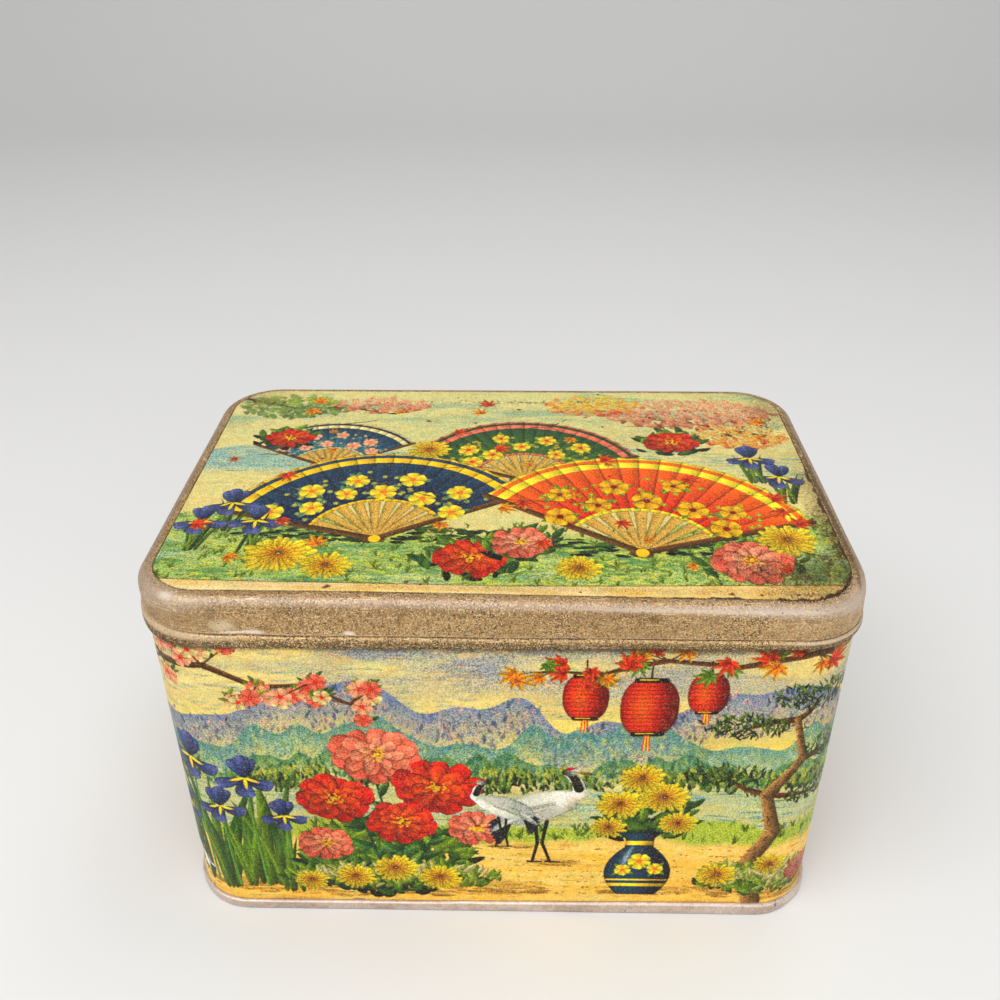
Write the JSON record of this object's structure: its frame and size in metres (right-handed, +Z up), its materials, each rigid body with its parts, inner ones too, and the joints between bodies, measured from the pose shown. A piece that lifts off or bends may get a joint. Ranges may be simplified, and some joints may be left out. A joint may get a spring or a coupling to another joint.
{
  "type": "storage tin",
  "caption": "Rectangular tinplate storage tin with rounded corners, a printed wall and lid top, and a plain lift-off lid skirt with a beaded edge.",
  "frame": {"origin": "middle of the tin's foot, on the surface it stands on", "axes": "+Z up, +X along the long side to the right, the front faces -Y"},
  "size_m": [0.203, 0.133, 0.125],
  "materials": {
    "printed_tinplate": "satin varnished print over tinplate, worn and speckled with rust",
    "printed_top": "satin varnished print over tinplate, scratched, with rust specks",
    "aged_tinplate": "bare tinplate gone brown, mottled and finely scratched",
    "plain_tinplate": "dull bare tinplate"
  },
  "bodies": {
    "tin": {"body_wall": "printed_tinplate", "bottom_pan": "plain_tinplate"},
    "lid": {"lid_band": "aged_tinplate", "lid_top_plate": "printed_top"}
  },
  "joints": [
    {"name": "lid_lift", "type": "slide", "parent": "tin", "child": "lid", "axis": [0, 0, 1], "range_m": [0, 0.12]}
  ]
}
